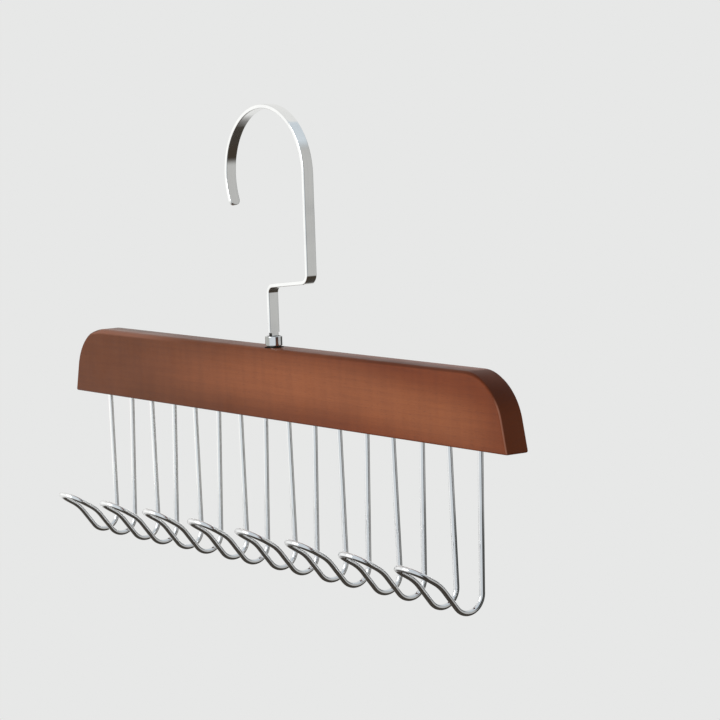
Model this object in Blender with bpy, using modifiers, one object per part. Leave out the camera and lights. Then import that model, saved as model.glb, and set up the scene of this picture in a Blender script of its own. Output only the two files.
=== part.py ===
"""Belt hanger: a lacquered wooden bar with eight bent wire belt hooks below it and a flat
swivelling rail hook above it.

Metres, +Z up. X runs along the bar, the belt hooks reach forward to -Y. The origin is the rail
seat: the underside of the hook's crown, on the axis that the bar swivels about. The hook strip is
held by the rail, and all that hangs below the collar turns about Z.
"""
import math

import bmesh
import bpy
from mathutils import Matrix, Vector

# The wooden bar
BAR_LENGTH = 0.350
BAR_HEIGHT = 0.033
BAR_THICKNESS = 0.012
END_LEAN = math.radians(13)  # the ends lean in towards the top
END_RADIUS = 0.025  # the large round of each upper corner
EDGE_ROUND = 0.0008  # the softened edges of both faces

# The eight belt hooks, each one length of wire bent double
HOOK_COUNT = 8
END_MARGIN = 0.035  # from the bar's end to the middle of the last belt hook
WIRE_DIAMETER = 0.0025
LEG_SPREAD = 0.0211  # between a belt hook's two legs, where they leave the bar
THROAT_SPREAD = 0.0174  # between them from the throat to the lip
LEG_EMBED = 0.016  # how deep each leg sits in its hole
THROAT_DROP = 0.0605  # from the bar's underside to the middle of the throat's bend
THROAT_RADIUS = 0.0077
RISE_ANGLE = math.radians(52)  # the steep run up from the throat
RISE_LENGTH = 0.0137
ELBOW_RADIUS = 0.020
LIP_ANGLE = math.radians(31)  # the flatter run out to the tip
LIP_LENGTH = 0.0154  # from the elbow's corner to the tip

# The rail hook, a flat strip that ends in a round stem
STRIP_WIDTH = 0.0055
STRIP_THICKNESS = 0.002
STRIP_EDGE_ROUND = 0.0004
SEAT_HEIGHT = 0.110  # from the bar's top up to the rail seat
ARCH_RADIUS = 0.0315  # the middle of the strip, about a point on the swivel axis
ARCH_SWEEP = math.radians(200)
TIP_LENGTH = 0.004
JOG_HEIGHT = 0.030  # from the bar's top up to the middle of the sideways jog
JOG_SLOPE = math.radians(5.5)
STRIP_BEND_RADIUS = 0.004
STEM_DIAMETER = 0.0036
STEM_HEAD_DIAMETER = 0.0048
STEM_HEAD_HEIGHT = 0.0014
STEM_TAPER = 0.002  # where the strip's foot is drawn down to the round stem

# The collar that carries the bar, pressed into the bar's top
COLLAR_DIAMETER = 0.0082
COLLAR_STAND = 0.0052  # how far it stands above the bar's top
COLLAR_CHAMFER = 0.0005
CUP_DEPTH = 0.0036  # the wide mouth that the strip's foot turns in
CUP_WALL = 0.0009
WEB_THICKNESS = 0.0022  # the inner ring that bears on the washer
SHANK_DIAMETER = 0.0066
SHANK_WALL = 0.0005
SHANK_LENGTH = 0.010
BARB_HEIGHT = 0.0002
BARB_PITCH = 0.0022
BARB_COUNT = 3
BARB_LEAD_SHARE = 0.25  # of the pitch, above each crest
BARB_TAIL_SHARE = 0.5  # of the pitch, below it
RECESS_DIAMETER = 0.0106  # the shallow spot face round the collar
RECESS_DEPTH = 0.0008
WASHER_THICKNESS = 0.0008

# Clearances
SEAT_GAP = 0.0003  # between pieces that touch
DRILL_RUN = 0.002  # the drilled depth left below a pressed piece
OVERRUN = 0.004  # how far a cutter runs past the face that it cuts
MERGE_DISTANCE = 0.00001

# Smoothness, in counts and angles
TURNED_SIDES = 32
DRILL_SIDES = 16
WIRE_RESOLUTION = 2
CORNER_STEPS = 10
THROAT_STEPS = 8
ELBOW_STEPS = 5
LIP_STEPS = 10
ARCH_STEPS = 30
STRIP_BEND_STEPS = 6
STRIP_EDGE_STEPS = 2
STRIP_TIP_STEPS = 5
BAR_EDGE_STEPS = 3
ROUND_PROFILE = 0.5  # a bevel's circular arc
SMOOTH_ANGLE = math.radians(35)
BEVEL_ANGLE = math.radians(60)

HOOK_PITCH = (BAR_LENGTH - 2 * END_MARGIN) / (HOOK_COUNT - 1)
WIRE_RADIUS = WIRE_DIAMETER / 2
HOLE_RADIUS = WIRE_RADIUS + SEAT_GAP


def clear_scene():
    for thing in list(bpy.data.objects):
        bpy.data.objects.remove(thing, do_unlink=True)


def make_collection(name):
    collection = bpy.data.collections.new(name)
    bpy.context.scene.collection.children.link(collection)
    return collection


def make_material(name, color, roughness, metallic):
    material = bpy.data.materials.new(name)
    material.use_nodes = True
    shader = material.node_tree.nodes["Principled BSDF"]
    shader.inputs["Base Color"].default_value = (*color, 1)
    shader.inputs["Roughness"].default_value = roughness
    shader.inputs["Metallic"].default_value = metallic
    material.diffuse_color = (*color, 1)
    return material


def add_object(name, data, collection, material=None, parent=None, location=(0, 0, 0)):
    thing = bpy.data.objects.new(name, data)
    collection.objects.link(thing)
    thing.location = location
    thing.parent = parent
    if material and not data.materials:
        data.materials.append(material)
    return thing


def hide_cutter(cutter):
    cutter.hide_render = True
    cutter.display_type = "WIRE"


def smooth_round_faces(mesh):
    mesh.shade_smooth()
    mesh.set_sharp_from_angle(angle=SMOOTH_ANGLE)


class Trace:
    """A flat path drawn by straight runs and arcs, as a bending jig makes it.

    A point is (along, up), and the heading is an angle measured from the along direction.
    """

    def __init__(self, start, heading):
        self.points = [Vector(start)]
        self.heading = heading

    def straight(self, length):
        self.points.append(self.points[-1] + length * self.direction())
        return self

    def arc(self, radius, turn, steps):
        """Turn by an angle, positive to the left, about a centre on that side."""
        side = math.copysign(1, turn)
        normal = side * Vector((-math.sin(self.heading), math.cos(self.heading)))
        centre = self.points[-1] + radius * normal
        spoke = self.points[-1] - centre
        for step in range(1, steps + 1):
            self.points.append(centre + Matrix.Rotation(turn * step / steps, 2) @ spoke)
        self.heading += turn
        return self

    def direction(self):
        return Vector((math.cos(self.heading), math.sin(self.heading)))


def curve_data(name, points, dimensions, closed=False):
    curve = bpy.data.curves.new(name, "CURVE")
    curve.dimensions = dimensions
    spline = curve.splines.new("POLY")
    spline.points.add(len(points) - 1)
    for target, point in zip(spline.points, points):
        target.co = (*point, 1) if len(point) == 3 else (*point, 0, 1)
    spline.use_cyclic_u = closed
    return curve


def upright_mesh(name, curve, collection):
    """Turn a flat curve drawn in X and Y into a mesh that stands in X and Z, its caps welded."""
    drawing = add_object(name, curve, collection)
    evaluated = drawing.evaluated_get(bpy.context.evaluated_depsgraph_get())
    mesh = bpy.data.meshes.new_from_object(evaluated)
    mesh.transform(Matrix.Rotation(math.pi / 2, 4, "X"))
    bpy.data.objects.remove(drawing, do_unlink=True)
    shape = bmesh.new()
    shape.from_mesh(mesh)
    bmesh.ops.remove_doubles(shape, verts=shape.verts, dist=MERGE_DISTANCE)
    shape.to_mesh(mesh)
    shape.free()
    mesh.name = name
    return mesh


def turned_object(name, profile, closed, collection, **placement):
    """Revolve a profile of (radius, height) points, drawn down its outer side, about Z."""
    mesh = bpy.data.meshes.new(name)
    edges = [(i, i + 1) for i in range(len(profile) - 1)]
    if closed:
        edges.append((len(profile) - 1, 0))
    mesh.from_pydata([(radius, 0, height) for radius, height in profile], edges, [])
    thing = add_object(name, mesh, collection, **placement)
    screw = thing.modifiers.new("Turned", "SCREW")
    screw.axis = "Z"
    screw.steps = TURNED_SIDES
    screw.render_steps = TURNED_SIDES
    screw.use_merge_vertices = True
    screw.merge_threshold = MERGE_DISTANCE
    screw.use_smooth_shade = False
    return thing


def add_bevel(thing, width, segments):
    bevel = thing.modifiers.new("Rounded edges", "BEVEL")
    bevel.width = width
    bevel.segments = segments
    bevel.limit_method = "ANGLE"
    bevel.angle_limit = BEVEL_ANGLE


def add_boolean(thing, operation, other):
    boolean = thing.modifiers.new(operation.title(), "BOOLEAN")
    boolean.operation = operation
    boolean.object = other


def bar_outline():
    """Half of the bar's face from the middle of its top round one end, then the mirrored half."""
    half = BAR_LENGTH / 2
    centre_up = -END_RADIUS
    side_normal = Vector((math.cos(END_LEAN), math.sin(END_LEAN)))
    drop_to_foot = BAR_HEIGHT + centre_up
    centre_along = half - (END_RADIUS + drop_to_foot * side_normal.y) / side_normal.x
    end = []
    for step in range(CORNER_STEPS + 1):
        angle = math.pi / 2 + (END_LEAN - math.pi / 2) * step / CORNER_STEPS
        spoke = END_RADIUS * Vector((math.cos(angle), math.sin(angle)))
        end.append(Vector((centre_along, centre_up)) + spoke)
    end.append(Vector((half, -BAR_HEIGHT)))
    other_end = [Vector((-point.x, point.y)) for point in reversed(end)]
    return end + other_end


def leg_line():
    """A leg's direction, and where its middle line is at the bar's underside."""
    outward = (LEG_SPREAD - THROAT_SPREAD) / 2
    slope = outward / THROAT_DROP
    return Vector((slope, 0, 1)), LEG_SPREAD / 2


def belt_hook_path():
    """The wire's middle line, about the middle of the belt hook at the bar's underside."""
    half_spread = THROAT_SPREAD / 2
    tangent = ELBOW_RADIUS * math.tan((RISE_ANGLE - LIP_ANGLE) / 2)
    side = Trace((0, -THROAT_DROP), -math.pi / 2)
    side.arc(THROAT_RADIUS, math.pi / 2 + RISE_ANGLE, THROAT_STEPS)
    side.straight(RISE_LENGTH - tangent)
    side.arc(ELBOW_RADIUS, LIP_ANGLE - RISE_ANGLE, ELBOW_STEPS)
    side.straight(LIP_LENGTH - tangent - half_spread)
    slope, foot = leg_line()
    half = [Vector((foot, 0, 0)) + LEG_EMBED * slope]
    half += [Vector((half_spread, -forward, up)) for forward, up in side.points]
    middle = Vector((0, half[-1].y, half[-1].z))
    outward = Vector((0, -math.cos(LIP_ANGLE), math.sin(LIP_ANGLE)))
    tip = []
    for step in range(1, LIP_STEPS):
        angle = math.pi * step / LIP_STEPS
        spoke = math.cos(angle) * Vector((1, 0, 0)) + math.sin(angle) * outward
        tip.append(middle + half_spread * spoke)
    other_half = [Vector((-point.x, point.y, point.z)) for point in reversed(half)]
    return half + tip + other_half


def strip_path():
    """The strip's middle line from its foot up, about the swivel axis at the bar's top."""
    turn = math.pi / 2 - JOG_SLOPE
    bend_across = STRIP_BEND_RADIUS * (1 - math.cos(turn))
    bend_up = STRIP_BEND_RADIUS * math.sin(turn)
    jog_run = (ARCH_RADIUS - 2 * bend_across) / math.sin(turn)
    jog_start = JOG_HEIGHT - bend_up - jog_run * math.cos(turn) / 2
    jog_end = JOG_HEIGHT + bend_up + jog_run * math.cos(turn) / 2
    arch_start = SEAT_HEIGHT - ARCH_RADIUS + STRIP_THICKNESS / 2
    path = Trace((0, strip_foot()), math.pi / 2)
    path.straight(jog_start - strip_foot())
    path.arc(STRIP_BEND_RADIUS, -turn, STRIP_BEND_STEPS)
    path.straight(jog_run)
    path.arc(STRIP_BEND_RADIUS, turn, STRIP_BEND_STEPS)
    path.straight(arch_start - jog_end)
    path.arc(ARCH_RADIUS, ARCH_SWEEP, ARCH_STEPS)
    path.straight(TIP_LENGTH)
    return path.points


def web_top():
    return COLLAR_STAND - CUP_DEPTH


def web_bottom():
    return web_top() - WEB_THICKNESS


def strip_foot():
    return web_top() + SEAT_GAP


def round_tip(mesh):
    """Round the two corners at the free end of the ribbon, which is the last point drawn."""
    shape = bmesh.new()
    shape.from_mesh(mesh)
    tip = strip_path()[-1]
    corners = []
    for vert in shape.verts:
        if (Vector((vert.co.x, vert.co.z)) - tip).length < MERGE_DISTANCE:
            corners.append(vert)
    bmesh.ops.bevel(shape, geom=corners, offset=STRIP_WIDTH / 2 - STRIP_EDGE_ROUND,
                    segments=STRIP_TIP_STEPS, profile=ROUND_PROFILE, affect="VERTICES")
    shape.to_mesh(mesh)
    shape.free()


def make_hook_strip(parts, cutters, chrome):
    ribbon = curve_data("hook_strip", strip_path(), "2D")
    ribbon.fill_mode = "NONE"
    ribbon.extrude = STRIP_WIDTH / 2
    mesh = upright_mesh("hook_strip", ribbon, parts)
    round_tip(mesh)
    mesh.materials.append(chrome)
    strip = add_object("hook_strip", mesh, parts, location=(0, 0, -SEAT_HEIGHT))
    solidify = strip.modifiers.new("Strip thickness", "SOLIDIFY")
    solidify.thickness = STRIP_THICKNESS
    solidify.offset = 0
    solidify.use_even_offset = True
    add_bevel(strip, STRIP_EDGE_ROUND, STRIP_EDGE_STEPS)

    radius = STEM_DIAMETER / 2
    head_radius = STEM_HEAD_DIAMETER / 2
    head_top = web_bottom() - WASHER_THICKNESS - 2 * SEAT_GAP
    head_bottom = head_top - STEM_HEAD_HEIGHT
    dome = head_radius - radius
    profile = [
        (0, strip_foot() + STEM_TAPER),
        (STRIP_THICKNESS / 2, strip_foot() + STEM_TAPER),
        (radius, strip_foot()),
        (radius, head_top),
        (head_radius, head_top),
        (head_radius, head_bottom + dome),
        (radius, head_bottom),
        (0, head_bottom),
    ]
    stem = turned_object("stem_union", profile, False, cutters, location=(0, 0, -SEAT_HEIGHT))
    hide_cutter(stem)
    add_boolean(strip, "UNION", stem)


def make_collar(parts, chrome, swivel):
    head = COLLAR_DIAMETER / 2
    cup = head - CUP_WALL
    bore = STEM_DIAMETER / 2 + SEAT_GAP
    shank = SHANK_DIAMETER / 2
    flange_bottom = -RECESS_DEPTH + SEAT_GAP
    shank_bottom = flange_bottom - SHANK_LENGTH
    barbs = []
    for index in range(BARB_COUNT):
        crest = flange_bottom - BARB_PITCH * (index + 1)
        barbs.append((shank, crest + BARB_LEAD_SHARE * BARB_PITCH))
        barbs.append((shank + BARB_HEIGHT, crest))
        barbs.append((shank, crest - BARB_TAIL_SHARE * BARB_PITCH))
    profile = [
        (head - COLLAR_CHAMFER, COLLAR_STAND),
        (head, COLLAR_STAND - COLLAR_CHAMFER),
        (head, flange_bottom),
        (shank, flange_bottom),
        *barbs,
        (shank, shank_bottom),
        (shank - SHANK_WALL, shank_bottom),
        (shank - SHANK_WALL, web_bottom()),
        (bore, web_bottom()),
        (bore, web_top()),
        (cup, web_top()),
        (cup, COLLAR_STAND),
    ]
    turned_object("swivel_collar", profile, True, parts, material=chrome, parent=swivel)


def make_washer(parts, steel):
    inner = STEM_DIAMETER / 2 + SEAT_GAP
    outer = SHANK_DIAMETER / 2 - SHANK_WALL - SEAT_GAP
    top = web_bottom() - SEAT_GAP
    bottom = top - WASHER_THICKNESS
    profile = [(outer, top), (outer, bottom), (inner, bottom), (inner, top)]
    place = (0, 0, -SEAT_HEIGHT)
    turned_object("thrust_washer", profile, True, parts, material=steel, location=place)


def leg_hole_cutter(cutters, swivel):
    """Sixteen drill shapes, each in line with the leg that sits in it."""
    slope, foot = leg_line()
    reach = LEG_EMBED + SEAT_GAP
    shape = bmesh.new()
    for index in range(HOOK_COUNT):
        for side in (-1, 1):
            line = Vector((side * slope.x, 0, 1))
            start = Vector((hook_place(index) + side * foot, 0, -BAR_HEIGHT)) - OVERRUN * line
            length = (reach + OVERRUN) * line.length
            turn = Vector((0, 0, 1)).rotation_difference(line).to_matrix().to_4x4()
            place = Matrix.Translation(start) @ turn @ Matrix.Translation((0, 0, length / 2))
            bmesh.ops.create_cone(shape, cap_ends=True, segments=DRILL_SIDES, radius1=HOLE_RADIUS,
                                  radius2=HOLE_RADIUS, depth=length, matrix=place)
    mesh = bpy.data.meshes.new("leg_holes")
    shape.to_mesh(mesh)
    shape.free()
    cutter = add_object("leg_holes", mesh, cutters, parent=swivel)
    hide_cutter(cutter)
    return cutter


def collar_hole_cutter(cutters, swivel):
    """A spot face round the collar and the drilled hole that its shank is pressed into."""
    recess = RECESS_DIAMETER / 2
    hole = SHANK_DIAMETER / 2 + BARB_HEIGHT + SEAT_GAP
    bottom = -RECESS_DEPTH + SEAT_GAP - SHANK_LENGTH - DRILL_RUN
    profile = [
        (0, OVERRUN),
        (recess, OVERRUN),
        (recess, -RECESS_DEPTH),
        (hole, -RECESS_DEPTH),
        (hole, bottom),
        (0, bottom),
    ]
    cutter = turned_object("collar_hole", profile, False, cutters, parent=swivel)
    hide_cutter(cutter)
    return cutter


def make_bar(parts, cutters, lacquer, swivel):
    outline = curve_data("wooden_bar", bar_outline(), "2D", closed=True)
    outline.fill_mode = "BOTH"
    outline.extrude = BAR_THICKNESS / 2
    mesh = upright_mesh("wooden_bar", outline, parts)
    mesh.materials.append(lacquer)
    bar = add_object("wooden_bar", mesh, parts, parent=swivel)
    add_bevel(bar, EDGE_ROUND, BAR_EDGE_STEPS)
    add_boolean(bar, "DIFFERENCE", leg_hole_cutter(cutters, swivel))
    add_boolean(bar, "DIFFERENCE", collar_hole_cutter(cutters, swivel))


def hook_place(index):
    return (index - (HOOK_COUNT - 1) / 2) * HOOK_PITCH


def make_belt_hooks(parts, chrome, swivel):
    """Eight belt hooks along the bar, which share one bent wire."""
    wire = curve_data("belt_hook", belt_hook_path(), "3D")
    wire.bevel_depth = WIRE_RADIUS
    wire.bevel_resolution = WIRE_RESOLUTION
    wire.use_fill_caps = True
    wire.twist_mode = "MINIMUM"
    wire.materials.append(chrome)
    for index in range(HOOK_COUNT):
        place = (hook_place(index), 0, -BAR_HEIGHT)
        add_object(f"belt_hook_{index + 1}", wire, parts, parent=swivel, location=place)


def main():
    clear_scene()
    parts = make_collection("belt_hanger")
    cutters = make_collection("cutters")
    lacquer = make_material("brown_lacquered_wood", (0.2, 0.072, 0.038), 0.4, 0)
    chrome = make_material("bright_chrome", (0.8, 0.8, 0.81), 0.08, 1)
    steel = make_material("plain_steel", (0.5, 0.5, 0.5), 0.35, 1)

    swivel = add_object("swivel_axis", None, parts, location=(0, 0, -SEAT_HEIGHT))
    bpy.context.view_layer.update()
    make_bar(parts, cutters, lacquer, swivel)
    make_belt_hooks(parts, chrome, swivel)
    make_collar(parts, chrome, swivel)
    make_hook_strip(parts, cutters, chrome)
    make_washer(parts, steel)
    for thing in parts.objects:
        if thing.type == "MESH":
            smooth_round_faces(thing.data)


main()
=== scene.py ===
import math

import bmesh
import bpy
from mathutils import Matrix, Vector


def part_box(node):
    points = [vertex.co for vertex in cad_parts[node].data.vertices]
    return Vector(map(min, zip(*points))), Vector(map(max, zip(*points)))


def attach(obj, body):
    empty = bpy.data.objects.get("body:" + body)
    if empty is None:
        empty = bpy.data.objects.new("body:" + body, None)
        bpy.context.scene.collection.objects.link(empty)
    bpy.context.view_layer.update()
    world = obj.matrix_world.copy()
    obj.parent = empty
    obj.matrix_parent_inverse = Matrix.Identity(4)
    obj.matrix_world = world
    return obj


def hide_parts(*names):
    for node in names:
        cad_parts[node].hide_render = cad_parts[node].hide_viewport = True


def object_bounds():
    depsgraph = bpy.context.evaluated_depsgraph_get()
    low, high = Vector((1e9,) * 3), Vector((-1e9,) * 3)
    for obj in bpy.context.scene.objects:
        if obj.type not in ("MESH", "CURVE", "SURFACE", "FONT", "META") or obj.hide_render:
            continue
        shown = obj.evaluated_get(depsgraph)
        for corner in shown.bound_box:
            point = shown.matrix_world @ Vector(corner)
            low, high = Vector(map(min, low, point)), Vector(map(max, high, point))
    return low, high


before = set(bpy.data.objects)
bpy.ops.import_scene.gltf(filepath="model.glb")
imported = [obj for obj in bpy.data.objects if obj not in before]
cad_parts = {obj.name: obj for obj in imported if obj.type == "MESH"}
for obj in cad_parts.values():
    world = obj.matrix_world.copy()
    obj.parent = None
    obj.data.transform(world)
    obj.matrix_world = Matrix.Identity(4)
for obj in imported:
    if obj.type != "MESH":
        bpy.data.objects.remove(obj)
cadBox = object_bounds()
print("frame loaded,", len(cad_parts), "nodes")

barLow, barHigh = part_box("wooden_bar")
barTop = barHigh.z
barUnderside = barLow.z

weldGap = 0.000002  # points nearer than this become one
seedSize = 0.001  # of a plane that is at once merged into one point


# selecting and editing, as by hand

def selectOnly(piece):
    bpy.ops.object.select_all(action="DESELECT")
    piece.select_set(True)
    bpy.context.view_layer.objects.active = piece


def addPrimitive(adder, name, **settings):
    # the piece is left in edit mode
    bpy.ops.object.select_all(action="DESELECT")
    adder(**settings)
    piece = bpy.context.object
    piece.name = name
    bpy.ops.object.transform_apply(location=True, rotation=True, scale=True)
    bpy.ops.object.mode_set(mode="EDIT")
    return piece


def addSized(adder, name, middle, size):
    piece = addPrimitive(adder, name, size=1, location=middle)
    bpy.ops.mesh.select_all(action="SELECT")
    bpy.ops.transform.resize(value=size, center_override=middle)
    return piece


def pick(kind, test):
    # kind is VERT or EDGE, and test says which of them are taken
    bpy.ops.mesh.select_mode(type=kind)
    bpy.ops.mesh.select_all(action="DESELECT")
    shape = bmesh.from_edit_mesh(bpy.context.object.data)
    lists = {"VERT": shape.verts, "EDGE": shape.edges}
    for item in lists[kind]:
        item.select_set(bool(test(item)))
    shape.select_flush_mode()
    bmesh.update_edit_mesh(bpy.context.object.data)


def cleanUp():
    bpy.ops.mesh.select_all(action="SELECT")
    bpy.ops.mesh.remove_doubles(threshold=weldGap)
    bpy.ops.mesh.normals_make_consistent(inside=False)
    bpy.ops.object.mode_set(mode="OBJECT")


def applyModifier(piece, kind, **settings):
    bpy.context.view_layer.objects.active = piece
    modifier = piece.modifiers.new(kind.title(), kind)
    for key, value in settings.items():
        setattr(modifier, key, value)
    bpy.ops.object.modifier_apply(modifier=modifier.name)


def cutWith(piece, cutter, operation):
    applyModifier(piece, "BOOLEAN", operation=operation, object=cutter, solver="EXACT")
    bpy.data.objects.remove(cutter, do_unlink=True)


def softShading(piece, degrees):
    selectOnly(piece)
    bpy.ops.object.shade_smooth_by_angle(angle=math.radians(degrees))
    applyModifier(piece, "WEIGHTED_NORMAL", keep_sharp=True)


def dress(piece, body, nodes, material):
    piece.data.materials.clear()
    piece.data.materials.append(material)
    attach(piece, body)
    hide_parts(*nodes)


# a way is where the open end of a bent piece is, and which way it heads

def beginWay(at, heading):
    return {"at": Vector(at), "heading": Vector(heading).normalized(), "trail": [Vector(at)]}


def runOn(way, length):
    step = length * way["heading"]
    bpy.ops.mesh.extrude_region_move(TRANSFORM_OT_translate={"value": step})
    way["at"] = way["at"] + step
    way["trail"].append(way["at"].copy())


def bendOn(way, radius, angle, axis, steps):
    axis = Vector(axis)
    centre = way["at"] + radius * axis.cross(way["heading"])
    # spin turns the other way
    bpy.ops.mesh.spin(steps=steps, angle=-angle, center=centre, axis=axis)
    spoke = way["at"] - centre
    for step in range(1, steps + 1):
        way["trail"].append(centre + Matrix.Rotation(angle * step / steps, 3, axis) @ spoke)
    way["at"] = way["trail"][-1].copy()
    way["heading"] = Matrix.Rotation(angle, 3, axis) @ way["heading"]


def turnProfile(name, points, sides):
    # draws a profile of (radius, height) points and spins it round the swivel axis
    piece = addPrimitive(bpy.ops.mesh.primitive_plane_add, name, size=seedSize)
    bpy.ops.mesh.select_all(action="SELECT")
    bpy.ops.mesh.merge(type="CENTER")
    bpy.ops.mesh.select_mode(type="VERT")
    bpy.ops.mesh.select_all(action="SELECT")
    radius, height = points[0]
    bpy.ops.transform.translate(value=(radius, 0, height))
    for nextRadius, nextHeight in points[1:]:
        step = (nextRadius - radius, 0, nextHeight - height)
        bpy.ops.mesh.extrude_region_move(TRANSFORM_OT_translate={"value": step})
        radius, height = nextRadius, nextHeight
    bpy.ops.mesh.select_all(action="SELECT")
    bpy.ops.mesh.spin(steps=sides, angle=2 * math.pi, center=(0, 0, 0), axis=(0, 0, 1))
    cleanUp()
    return piece


def mapAlong(piece, trail):
    # a UV map whose U is the length along a bent strip and V the place across it, in metres
    lengths = [0.0]
    for before, after in zip(trail, trail[1:]):
        lengths.append(lengths[-1] + (after - before).length)
    reach = []
    for vert in piece.data.vertices:
        best = (math.inf, 0.0)  # the gap to the trail, and the length along it
        for index in range(len(trail) - 1):
            start, end = trail[index], trail[index + 1]
            line = end - start
            share = min(1.0, max(0.0, (vert.co - start).dot(line) / line.length_squared))
            gap = (vert.co - start - share * line).length
            if gap < best[0]:
                best = (gap, lengths[index] + share * line.length)
        reach.append(best[1])
    layer = piece.data.uv_layers.new(name="alongMap")
    for loop in piece.data.loops:
        number = loop.vertex_index
        layer.data[loop.index].uv = (reach[number], piece.data.vertices[number].co.y)


# node helpers

def addNode(tree, kind, **settings):
    node = tree.nodes.new(kind)
    for key, value in settings.items():
        setattr(node, key, value)
    return node


def fillSocket(tree, target, source):
    # the source is a socket to link or a plain value
    if isinstance(source, bpy.types.NodeSocket):
        tree.links.new(source, target)
    else:
        target.default_value = source


def feed(tree, node, **sources):
    # each source goes to the socket that has its name, written without spaces
    for key, source in sources.items():
        target = [s for s in node.inputs if s.name.replace(" ", "") == key and s.enabled][0]
        fillSocket(tree, target, source)
    return node


def mathNode(tree, operation, *sources, clamp=False):
    node = addNode(tree, "ShaderNodeMath", operation=operation, use_clamp=clamp)
    for target, source in zip(node.inputs, sources):
        fillSocket(tree, target, source)
    return node.outputs[0]


def product(tree, first, *others):
    result = first
    for other in others:
        result = mathNode(tree, "MULTIPLY", result, other)
    return result


def vectorMath(tree, operation, *sources):
    node = addNode(tree, "ShaderNodeVectorMath", operation=operation)
    for target, source in zip(node.inputs, sources):
        fillSocket(tree, target, source)
    return node


def vectorLength(tree, vector):
    return vectorMath(tree, "LENGTH", vector).outputs["Value"]


def alongCompass(tree, vector, degrees):
    # how far a vector reaches towards a compass angle: 0 is along X and 90 along Y
    angle = math.radians(degrees)
    towards = (math.cos(angle), math.sin(angle), 0)
    return vectorMath(tree, "DOT_PRODUCT", vector, towards).outputs["Value"]


def splitAxes(tree, vector):
    return feed(tree, addNode(tree, "ShaderNodeSeparateXYZ"), Vector=vector).outputs


def rangeNode(tree, value, fromLow, fromHigh, toLow=0.0, toHigh=1.0):
    node = addNode(tree, "ShaderNodeMapRange", interpolation_type="SMOOTHSTEP", clamp=True)
    feed(tree, node, Value=value, FromMin=fromLow, FromMax=fromHigh, ToMin=toLow, ToMax=toHigh)
    return node.outputs["Result"]


def stretch(tree, vector, scale, shift=(0, 0, 0)):
    node = addNode(tree, "ShaderNodeMapping")
    feed(tree, node, Vector=vector, Scale=scale, Location=shift)
    return node.outputs["Vector"]


def noiseNode(tree, vector, scale, detail=2.0, roughness=0.5):
    node = addNode(tree, "ShaderNodeTexNoise")
    feed(tree, node, Vector=vector, Scale=scale, Detail=detail, Roughness=roughness)
    return node.outputs["Fac"]


def mixColor(tree, share, first, second, blend="MIX"):
    node = addNode(tree, "ShaderNodeMix", data_type="RGBA", blend_type=blend)
    feed(tree, node, Factor=share, A=first, B=second)
    return [s for s in node.outputs if s.enabled][0]


def newGroup(name, inputs, outputs):
    group = bpy.data.node_groups.new(name, "ShaderNodeTree")
    for title, kind, value in inputs:
        socket = group.interface.new_socket(title, in_out="INPUT", socket_type=kind)
        if value is not None:
            socket.default_value = value
    for title, kind in outputs:
        group.interface.new_socket(title, in_out="OUTPUT", socket_type=kind)
    return group, group.nodes.new("NodeGroupInput"), group.nodes.new("NodeGroupOutput")


def placeGroup(tree, group, **sources):
    return feed(tree, addNode(tree, "ShaderNodeGroup", node_tree=group), **sources)


def newMaterial(name):
    material = bpy.data.materials.new(name)
    material.use_nodes = True
    tree = material.node_tree
    return material, tree, tree.nodes["Principled BSDF"]


# shared effects

hazeLook = {
    "detail": 4.0, "roughness": 0.6, "span": (0.42, 0.72),
    "speckle": 2600.0, "speckleDetail": 1.0, "speckleShare": 0.25,
}


def makeHandlingHaze():
    # soft patches where hands have dulled a bright finish, and a fine speckle over all of it
    group, inside, outside = newGroup(
        "handlingHaze",
        [("Vector", "NodeSocketVector", None), ("Patches", "NodeSocketFloat", 60.0),
         ("Clean", "NodeSocketFloat", 0.05), ("Dulled", "NodeSocketFloat", 0.15)],
        [("Roughness", "NodeSocketFloat"), ("Mask", "NodeSocketFloat")])
    place, clean, dulled = (inside.outputs[title] for title in ("Vector", "Clean", "Dulled"))
    patches = noiseNode(
        group, place, inside.outputs["Patches"], hazeLook["detail"], hazeLook["roughness"])
    speckle = noiseNode(group, place, hazeLook["speckle"], hazeLook["speckleDetail"])
    mask = mathNode(
        group, "ADD", rangeNode(group, patches, *hazeLook["span"]),
        product(group, speckle, hazeLook["speckleShare"]), clamp=True)
    spread = mathNode(group, "SUBTRACT", dulled, clean)
    rough = mathNode(group, "MULTIPLY_ADD", mask, spread, clean)
    group.links.new(rough, outside.inputs["Roughness"])
    group.links.new(mask, outside.inputs["Mask"])
    return group


linesLook = {"detail": 3.0, "roughness": 0.55}


def makeDrawnLines():
    # fine lines along one direction: a rolled or drawn metal's, or a wood's pores
    group, inside, outside = newGroup(
        "drawnLines",
        [("Vector", "NodeSocketVector", None),
         ("Frequency", "NodeSocketVector", (30.0, 3000.0, 3000.0)),
         ("From", "NodeSocketFloat", 0.4), ("To", "NodeSocketFloat", 0.7)],
        [("Lines", "NodeSocketFloat")])
    scaled = vectorMath(group, "MULTIPLY", inside.outputs["Vector"], inside.outputs["Frequency"])
    lines = noiseNode(
        group, scaled.outputs["Vector"], 1.0, linesLook["detail"], linesLook["roughness"])
    picked = rangeNode(group, lines, inside.outputs["From"], inside.outputs["To"])
    group.links.new(picked, outside.inputs["Lines"])
    return group


handlingHaze = makeHandlingHaze()
drawnLines = makeDrawnLines()


# lengths are in metres; a pair of numbers is the span over which an effect comes in, and a pair
# whose name ends in Shares is how strong the effect is at the two ends of its span

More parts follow.
